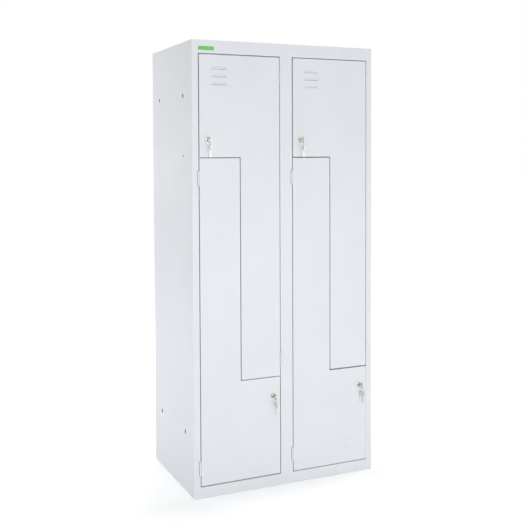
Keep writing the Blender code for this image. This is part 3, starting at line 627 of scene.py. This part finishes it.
def add_louvre(bm, x, z):
    """A hood pressed out of the skin that runs smoothly into it, with a slit under its lower edge."""
    sides = []
    for depth in (0, SHEET):
        grid = []
        for row in range(LOUVRE_ROWS + 1):
            share = row / LOUVRE_ROWS
            line = []
            for column in range(LOUVRE_COLUMNS + 1):
                along = LOUVRE_HALF * (2 * column / LOUVRE_COLUMNS - 1)
                past = min(max(abs(along) - (LOUVRE_LENGTH / 2 - LOUVRE_TAPER), 0) / LOUVRE_TAPER, 1)
                end = math.sqrt(1 - past * past)
                lip = LOUVRE_SLIT * end
                slope = max(1 - share / max(end, LOUVRE_LEAST_END), 0) ** LOUVRE_ROUNDNESS
                up = lip + (LOUVRE_TOP - lip) * share
                line.append(bm.verts.new((x + along, depth - LOUVRE_REACH * end * slope, z + up)))
            grid.append(line)
        sides.append(grid)
    front, back = sides
    for row in range(LOUVRE_ROWS):
        for column in range(LOUVRE_COLUMNS):
            corners = ((row, column), (row, column + 1), (row + 1, column + 1), (row + 1, column))
            bm.faces.new([front[r][c] for r, c in corners])
            bm.faces.new([back[r][c] for r, c in reversed(corners)])
    for column in range(LOUVRE_COLUMNS):
        bm.faces.new((front[0][column + 1], front[0][column], back[0][column], back[0][column + 1]))


def door_leaf(leaf):
    """The folded door with its notches at the hinges, its hole for the lock and its louvres."""
    cutter = bmesh.new()
    notch = HINGE_LENGTH / 2 + NOTCH_CLEARANCE
    near = leaf.hinge_x + leaf.hand * HINGE_SETBACK
    far = leaf.hinge_x + leaf.hand * NOTCH_REACH
    first, last = sorted((near, far))
    for height in leaf.hinge_heights:
        add_box(cutter, (first, -CUT_REACH, height - notch), (last, NOTCH_REACH, height + notch))
    places = [(leaf.louvre[0], leaf.louvre[1] + index * LOUVRE_PITCH) for index in range(LOUVRE_COUNT)]
    for x, z in places:
        add_box(cutter, (x - LOUVRE_HALF, -CUT_REACH, z), (x + LOUVRE_HALF, CUT_REACH, z + LOUVRE_TOP))
    radius = BARREL_RADIUS + SEAT
    hole = [(0, -CUT_REACH), (radius, -CUT_REACH), (radius, CUT_REACH), (0, CUT_REACH)]
    add_lathe(cutter, hole, LOCK_HOLE_SIDES, Matrix.Translation(leaf.lock) @ FACING)
    bmesh.ops.recalc_face_normals(cutter, faces=cutter.faces)
    skin = without(pan(leaf.outline), finished(cutter, "cutter"), "skin")
    bm = bmesh.new()
    bm.from_mesh(skin)
    for x, z in places:
        add_louvre(bm, x, z)
    item = placed("helper", finished(bm, leaf.name + "_leaf"))
    item.modifiers.new("even", "WEIGHTED_NORMAL").keep_sharp = True
    stand_in(leaf.name + "_door", evaluated(item, leaf.name + "_leaf"), Matrix.Translation((0, FRONT, 0)))


# Hinges


def hinge_meshes(side):
    """The frame's half with its pin, and the door's half. side is 1 where the door lies right of the axis."""
    half = HINGE_LENGTH / 2
    chamfer = KNUCKLE_CHAMFER
    halves = []
    for low, high, pinned in ((-half, -SEAT / 2, True), (SEAT / 2, half, False)):
        bm = bmesh.new()
        radius = KNUCKLE_RADIUS
        bore = 0 if pinned else PIN_RADIUS + SEAT
        profile = [
            (bore, low), (radius - chamfer, low), (radius, low + chamfer),
            (radius, high - chamfer), (radius - chamfer, high), (bore, high),
        ]
        add_lathe(bm, profile, KNUCKLE_SIDES, closed=not pinned)
        leaf = bmesh.new()
        near = HINGE_SETBACK - (LEAF_THICKNESS if pinned else 0)
        left, right = sorted((side * near, side * (near + LEAF_THICKNESS)))
        add_box(leaf, (left, LEAF_START, low + LEAF_TRIM), (right, LEAF_REACH, high - LEAF_TRIM))
        bmesh.ops.recalc_face_normals(bm, faces=bm.faces)
        if pinned:
            top = half - PIN_RECESS
            tip = PIN_RADIUS - chamfer
            pin = [(0, 0.0), (PIN_RADIUS, 0.0), (PIN_RADIUS, top - chamfer), (tip, top), (0, top)]
            add_lathe(bm, pin, PIN_SIDES)
            bmesh.ops.recalc_face_normals(bm, faces=bm.faces)
        bm.from_mesh(rounded_edges(finished(leaf, "leaf"), "leaf", EDGE_ROUND))
        halves.append(finished(bm, "hinge_half"))
    return halves


def hinges(leaf, meshes):
    frame_half, door_half = meshes[leaf.hand]
    for end, height in zip(("bottom", "top"), leaf.hinge_heights):
        place = Matrix.Translation((leaf.hinge_x, FRONT, height))
        stand_in(f"{leaf.name}_{end}_hinge_frame_half", frame_half, place)
        stand_in(f"{leaf.name}_{end}_hinge_door_half", door_half, place)


# Locks and keys, drawn with the door's face at z = 0 and z towards the viewer


def barrel_mesh():
    """The lock's head, its threaded body and the nut behind the skin."""
    front = LOCK_HEAD_THICKNESS + SEAT
    centre = (LOCK_HEAD_RADIUS - LOCK_HEAD_ROUND, front - LOCK_HEAD_ROUND)
    rim = arc(centre, LOCK_HEAD_ROUND, 90, 0, LOCK_HEAD_ROUND_STEPS)
    groove = zip(LOCK_HEAD_GROOVE_RADII, (front, front - LOCK_CHAMFER, front - LOCK_CHAMFER, front))
    profile = [
        (LOCK_BORE, front - LOCK_CHAMFER), (LOCK_BORE + LOCK_CHAMFER, front), *groove, *rim,
        (LOCK_HEAD_RADIUS, SEAT + LOCK_HEAD_BACK_CHAMFER), (LOCK_HEAD_RADIUS - LOCK_HEAD_BACK_CHAMFER, SEAT),
        (BARREL_RADIUS, SEAT),
    ]
    depth = -SHEET - 2 * SEAT
    while depth > -BARREL_BACK + THREAD_END:
        profile += [(BARREL_RADIUS, depth), (BARREL_RADIUS - THREAD_DEPTH, depth - THREAD_FLANK)]
        depth -= THREAD_PITCH
    profile += [(BARREL_RADIUS, -BARREL_BACK + LOCK_CHAMFER), (BARREL_RADIUS - LOCK_CHAMFER, -BARREL_BACK)]
    profile += [(LOCK_BORE, -BARREL_BACK)]
    bm = bmesh.new()
    add_lathe(bm, profile, LOCK_SIDES, closed=True)
    bmesh.ops.recalc_face_normals(bm, faces=bm.faces)
    body = finished(bm, "barrel")
    bm = bmesh.new()
    eye = circle(BARREL_RADIUS - NUT_GRIP, LOCK_HOLE_SIDES)
    add_prism(bm, circle(NUT_RADIUS, HEXAGON), -SHEET - SEAT - NUT_THICKNESS, -SHEET - SEAT, hole=eye)
    nut = rounded_edges(finished(bm, "nut"), "nut", NUT_ROUND)
    bm = bmesh.new()
    bm.from_mesh(body)
    bm.from_mesh(nut)
    mesh = finished(bm, "lock_barrel_finished")
    mesh.materials.append(POLISHED_WITH_PAINTED_SHADE)
    return mesh


def cam_mesh():
    """The plug with its keyway, the cam and the bolt that holds it."""
    back = -CAM_FRONT - CAM_THICKNESS
    bm = bmesh.new()
    rim = arc((PLUG_RADIUS - PLUG_ROUND, PLUG_FRONT - PLUG_ROUND), PLUG_ROUND, 0, 90, PLUG_ROUND_STEPS)
    end = back + PLUG_IN_CAM
    add_lathe(bm, [(0, end), (PLUG_RADIUS, end), *rim, (0, PLUG_FRONT)], LOCK_SIDES)
    bmesh.ops.recalc_face_normals(bm, faces=bm.faces)
    slot = bmesh.new()
    across = KEY_THICKNESS / 2 + KEYWAY_CLEARANCE
    tall = BLADE_WIDTH / 2 + KEYWAY_CLEARANCE
    deep = PLUG_FRONT - KEY_INSERTION - KEYWAY_CLEARANCE
    add_box(slot, (-across, -tall, deep), (across, tall, PLUG_FRONT + KEYWAY_OVERRUN))
    plug = without(finished(bm, "plug"), finished(slot, "slot"), "plug")
    bm = bmesh.new()
    width = CAM_WIDTH / 2
    outline = arc((0, 0), width, 180, 360, CAM_END_STEPS)
    outline += arc((0, CAM_REACH - width), width, 0, 180, CAM_END_STEPS)
    add_prism(bm, outline, back, -CAM_FRONT)
    cam = rounded_edges(finished(bm, "cam"), "cam", CAM_ROUND)
    bm = bmesh.new()
    seat = back - WASHER_THICKNESS
    washer = [
        (0, seat), (WASHER_RADIUS - LOCK_CHAMFER, seat), (WASHER_RADIUS, seat + LOCK_CHAMFER),
        (WASHER_RADIUS, back), (0, back),
    ]
    add_lathe(bm, washer, WASHER_SIDES)
    add_prism(bm, circle(CAM_BOLT_RADIUS, HEXAGON), back - CAM_BOLT_THICKNESS, seat)
    bolt = rounded_edges(finished(bm, "bolt"), "bolt", CAM_ROUND)
    bm = bmesh.new()
    for mesh in (plug, cam, bolt):
        bm.from_mesh(mesh)
    mesh = finished(bm, "lock_cam_finished")
    mesh.materials.append(POLISHED_WITH_PAINTED_SHADE)
    return mesh


def squared(angle, power):
    """The cosine and sine of an angle, raised to a power with their signs kept."""
    return [math.copysign(abs(value) ** power, value) for value in (math.cos(angle), math.sin(angle))]


def key_outline():
    """The key lying along x with its bow's hole at the origin and its tip towards +x."""
    bow = []
    for step in range(BOW_STEPS):
        c, s = squared(2 * math.pi * (step + 0.5) / BOW_STEPS, 2 / BOW_SQUARENESS)
        x, y = BOW_LENGTH / 2 * (1 + c), BOW_WIDTH / 2 * s
        if c < 0 or abs(y) > NECK_WIDTH / 2:
            bow.append((x, y))
    shoulder = KEY_LENGTH - KEY_INSERTION - SEAT
    neck, blade = NECK_WIDTH / 2, BLADE_WIDTH / 2
    outline = bow + [
        (shoulder, -neck), (shoulder, -blade), (KEY_LENGTH - BLADE_TIP_CHAMFER, -blade),
        (KEY_LENGTH, -blade + BLADE_TIP_CHAMFER), (KEY_LENGTH, blade - BLADE_TIP_CHAMFER),
    ]
    crest = KEY_LENGTH - BLADE_TIP_CHAMFER
    for depth in TOOTH_DEPTHS:
        valley = crest - TOOTH_PITCH / 2
        cut = blade - depth
        outline += [(crest, blade), (valley + TOOTH_FLAT / 2, cut), (valley - TOOTH_FLAT / 2, cut)]
        crest -= TOOTH_PITCH
    outline += [(crest, blade), (shoulder, blade), (shoulder, neck)]
    return [(x - BOW_HOLE_INSET, y) for x, y in outline]


def key_mesh():
    """A flat plated key with a recessed field on its bow and a milled groove along each side of its blade."""
    half = KEY_THICKNESS / 2
    bm = bmesh.new()
    add_prism(bm, key_outline(), -half, half, hole=circle(BOW_HOLE_RADIUS, BOW_HOLE_STEPS))
    cutter = bmesh.new()
    middle = BOW_LENGTH / 2 - BOW_HOLE_INSET + FIELD_SHIFT
    field = []
    for step in range(FIELD_STEPS):
        c, s = squared(2 * math.pi * step / FIELD_STEPS, FIELD_POWER)
        field.append((middle + FIELD_HALF_LENGTH * c, FIELD_HALF_WIDTH * s))
    start = KEY_LENGTH - KEY_INSERTION - BOW_HOLE_INSET - GROOVE_RUN_IN
    end = KEY_LENGTH - BOW_HOLE_INSET + GROOVE_RUN_OUT
    for side, level in zip((1, -1), GROOVE_LEVELS):
        outside = side * (half + KEY_CUT_OVERRUN)
        low, high = sorted((side * (half - FIELD_DEPTH), outside))
        add_prism(cutter, field, low, high)
        low, high = sorted((side * (half - GROOVE_DEPTH), outside))
        add_box(cutter, (start, level - GROOVE_HALF_WIDTH, low), (end, level + GROOVE_HALF_WIDTH, high))
    bmesh.ops.recalc_face_normals(cutter, faces=cutter.faces)
    mesh = without(finished(bm, "key"), finished(cutter, "fields"), "key")
    return rounded_edges(mesh, "key_finished", KEY_EDGE_ROUND, angle=KEY_EDGE_ANGLE)


def ring_mesh():
    """A split ring of two turns, below the origin, which is the middle of the hole that it hangs in."""
    wire = circle(RING_WIRE_RADIUS, RING_SIDES)
    bm = bmesh.new()
    rings = []
    for step in range(RING_STEPS + 1):
        share = step / RING_STEPS
        angle = 2 * math.pi * (RING_START_SHARE + RING_TURNS * share)
        radial = Vector((math.sin(angle), 0, -math.cos(angle)))
        # The wire steps across to its second turn in a short stretch, as a split ring's does
        crossing = RING_SPREAD_SHARE * math.tanh((share - 0.5) * RING_CROSSING_STEEPNESS)
        lean = RING_LEAN_SHARE * (share - 0.5) * RING_TURNS
        middle = radial * RING_RADIUS + Vector((0, RING_WIRE_RADIUS * (crossing + lean), 0))
        rings.append([bm.verts.new(middle + radial * out + Vector((0, along, 0))) for out, along in wire])
    for near, far in zip(rings, rings[1:]):
        for i in range(RING_SIDES):
            j = (i + 1) % RING_SIDES
            bm.faces.new((near[i], near[j], far[j], far[i]))
    bm.faces.new(rings[0])
    bm.faces.new(rings[-1])
    bmesh.ops.recalc_face_normals(bm, faces=bm.faces)
    bmesh.ops.translate(bm, vec=(0, 0, -RING_DROP - RING_RADIUS), verts=bm.verts)
    return finished(bm, "split_ring")


def turned_to(x_axis, z_axis, place):
    """Puts a part at the place with its local x and z along the two axes."""
    x_axis, z_axis = Vector(x_axis), Vector(z_axis)
    turn = Matrix((x_axis, z_axis.cross(x_axis), z_axis)).transposed()
    return Matrix.Translation(place) @ turn.to_4x4()


def lock(leaf, meshes):
    """A door's lock with its key, the ring on the key and the spare key on the ring."""
    barrel, cam, key, ring = meshes
    face = leaf.lock + Vector((0, FRONT, 0))
    facing = Matrix.Translation(face) @ FACING
    stand_in(leaf.name + "_lock_barrel", barrel, facing)
    stand_in(leaf.name + "_lock_cam", cam, facing)
    hole = Vector((face.x, FRONT - PLUG_FRONT + KEY_INSERTION - KEY_LENGTH + BOW_HOLE_INSET, face.z))
    stand_in(leaf.name + "_key", key, turned_to((0, 1, 0), (1, 0, 0), hole))
    ring_heading, spare_heading = (math.radians(heading) for heading in HANGING_HEADINGS[leaf.name])
    swung = Matrix.Translation(hole) @ Matrix.Rotation(ring_heading, 4, "Z")
    stand_in(leaf.name + "_key_ring", ring, swung)
    hang = hole - Vector((0, 0, 2 * RING_DROP + 2 * RING_RADIUS))
    normal = (math.cos(spare_heading), math.sin(spare_heading), 0)
    stand_in(leaf.name + "_spare_key", key, turned_to((0, 0, -1), normal, hang))


# Coat rails and label


def coat_rail(name):
    """A round bar with both ends bent up, drawn through the middle of the CAD's bar."""
    node = name + "_coat_rail"
    low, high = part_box(node)
    x = (low.x + high.x) / 2
    radius, bend = COAT_RAIL_RADIUS, COAT_RAIL_BEND
    front, back, lowest = low.y + radius, high.y - radius, low.z + radius
    path = [(front, high.z)]
    path += arc((front + bend, lowest + bend), bend, 180, 270, COAT_RAIL_BEND_STEPS)
    path += arc((back - bend, lowest + bend), bend, 270, 360, COAT_RAIL_BEND_STEPS)
    path += [(back, high.z)]
    curve = bpy.data.curves.new(node, "CURVE")
    curve.dimensions = "3D"
    curve.bevel_depth = radius
    curve.bevel_resolution = COAT_RAIL_ROUNDNESS
    curve.use_fill_caps = True
    spline = curve.splines.new("POLY")
    spline.points.add(len(path) - 1)
    for point, (y, z) in zip(spline.points, path):
        point.co = (x, y, z, 1)
    bm = bmesh.new()
    bm.from_mesh(evaluated(placed("helper", curve), node))
    stand_in(node, finished(bm, node + "_finished"))


def label_plate():
    """A bare glossy plate with round corners and a soft edge."""
    low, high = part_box("label_plate")
    inset = Vector((LABEL_CORNER, 0, LABEL_CORNER))
    inner_low, inner_high = low + inset, high - inset
    centres = (
        (inner_high.x, inner_low.z), (inner_high.x, inner_high.z),
        (inner_low.x, inner_high.z), (inner_low.x, inner_low.z),
    )
    outline = []
    for centre, start in zip(centres, (270, 0, 90, 180)):
        outline += arc(centre, LABEL_CORNER, start, start + 90, LABEL_CORNER_STEPS)
    bm = bmesh.new()
    add_prism(bm, outline, -high.y, -low.y, FACING)
    mesh = rounded_edges(finished(bm, "label"), "label_finished", LABEL_EDGE_ROUND, LABEL_EDGE_STEPS)
    stand_in("label_plate", mesh)


# Studio


def camera():
    data = bpy.data.cameras.new("camera")
    data.lens = LENS
    data.sensor_width = SENSOR_WIDTH
    data.shift_x, data.shift_y = LENS_SHIFT
    item = placed("camera", data)
    turn = Matrix((CAMERA_RIGHT, CAMERA_UP, CAMERA_BACK)).transposed().to_4x4()
    x, y, z = CAMERA_PLACE
    item.matrix_world = Matrix.Translation((x, FRONT + y, z)) @ turn
    bpy.context.scene.camera = item


def area_light(name, azimuth, elevation, distance, size, power, target):
    """A soft lamp aimed at the target, from an azimuth where 0 is straight in front and + is to the right."""
    data = bpy.data.lights.new(name, "AREA")
    data.shape = "RECTANGLE"
    data.size, data.size_y = size
    data.energy = power
    item = placed(name, data)
    a, e = math.radians(azimuth), math.radians(elevation)
    away = Vector((math.sin(a) * math.cos(e), -math.cos(a) * math.cos(e), math.sin(e)))
    item.location = Vector(target) + away * distance
    item.rotation_euler = away.to_track_quat("Z", "Y").to_euler()
    item.visible_camera = False


def split_by_ray(tree, lighting, seen, output):
    """Rays from the camera and mirrored ones meet the seen shader, and all others the lighting one.

    The mirrored ones are let in so that metal shows the white backdrop too.
    """
    path = tree.nodes.new("ShaderNodeLightPath")
    either = tree.nodes.new("ShaderNodeMath")
    either.operation = "MAXIMUM"
    tree.links.new(path.outputs["Is Camera Ray"], either.inputs[0])
    tree.links.new(path.outputs["Is Glossy Ray"], either.inputs[1])
    mix = tree.nodes.new("ShaderNodeMixShader")
    out = tree.nodes.new(output)
    tree.links.new(either.outputs[0], mix.inputs["Fac"])
    tree.links.new(lighting.outputs[0], mix.inputs[1])
    tree.links.new(seen.outputs[0], mix.inputs[2])
    tree.links.new(mix.outputs[0], out.inputs["Surface"])


def floor():
    """A pale floor that glows more with its distance from the locker, so that its far part is pure white."""
    mesh = bpy.data.meshes.new("floor")
    corners = [(x * FLOOR_REACH, y * FLOOR_REACH, 0) for x, y in ((-1, -1), (1, -1), (1, 1), (-1, 1))]
    mesh.from_pydata(corners, [], [(0, 1, 2, 3)])
    item = placed("floor", mesh)
    material = bpy.data.materials.new("floor")
    material.use_nodes = True
    tree = material.node_tree
    tree.nodes.clear()
    diffuse = tree.nodes.new("ShaderNodeBsdfDiffuse")
    diffuse.inputs["Color"].default_value = FLOOR_COLOUR
    glow = tree.nodes.new("ShaderNodeEmission")
    glow.inputs["Color"].default_value = WHITE
    spot = tree.nodes.new("ShaderNodeNewGeometry")
    away = tree.nodes.new("ShaderNodeVectorMath")
    away.operation = "LENGTH"
    tree.links.new(spot.outputs["Position"], away.inputs[0])
    rise = tree.nodes.new("ShaderNodeMapRange")
    rise.interpolation_type = "SMOOTHSTEP"
    for key, value in FLOOR_GLOW.items():
        rise.inputs[key].default_value = value
    tree.links.new(away.outputs["Value"], rise.inputs["Value"])
    tree.links.new(rise.outputs["Result"], glow.inputs["Strength"])
    both = tree.nodes.new("ShaderNodeAddShader")
    tree.links.new(diffuse.outputs[0], both.inputs[0])
    tree.links.new(glow.outputs[0], both.inputs[1])
    split_by_ray(tree, diffuse, both, "ShaderNodeOutputMaterial")
    mesh.materials.append(material)


def world():
    made = bpy.data.worlds.new("studio")
    bpy.context.scene.world = made
    made.use_nodes = True
    tree = made.node_tree
    tree.nodes.clear()
    backgrounds = []
    for colour, strength in ((SKY_COLOUR, SKY_STRENGTH), (WHITE, 1.0)):
        node = tree.nodes.new("ShaderNodeBackground")
        node.inputs["Color"].default_value = colour
        node.inputs["Strength"].default_value = strength
        backgrounds.append(node)
    split_by_ray(tree, *backgrounds, "ShaderNodeOutputWorld")


def studio():
    camera()
    floor()
    world()
    for name, (azimuth, elevation), distance, size, power, target in (
        ("key", (-4, 9), 9.0, (0.5, 0.5), KEY_POWER, (0, FRONT, 0.9)),
        ("band", (2, 0), 2.1, (3.2, 0.5), BAND_POWER, (0, FRONT, 0.74)),
        ("side_fill", (-101, 0), 2.4, (1.4, 0.6), SIDE_POWER, (-0.4, 0, 0.70)),
        ("right_fill", (100, 14), 3.4, (1.6, 1.6), RIGHT_POWER, (0.4, 0, 0.9)),
        ("back_fill", (176, 14), 3.4, (2.4, 1.6), BACK_POWER, (0, 0.27, 0.9)),
        ("top_fill", (0, 90), 2.4, (0.5, 0.4), TOP_POWER, (0, 0.03, 1.8)),
    ):
        area_light(name, azimuth, elevation, distance, size, power, target)
    bpy.context.scene.view_settings.view_transform = "Standard"


def dress():
    studio()
    panels()
    hinge_pairs = {side: hinge_meshes(side) for side in (1, -1)}
    lock_meshes = (barrel_mesh(), cam_mesh(), key_mesh(), ring_mesh())
    for name in DOORS:
        leaf = Leaf(name)
        door_leaf(leaf)
        hinges(leaf, hinge_pairs)
        lock(leaf, lock_meshes)
        coat_rail(name)
    label_plate()


dress()
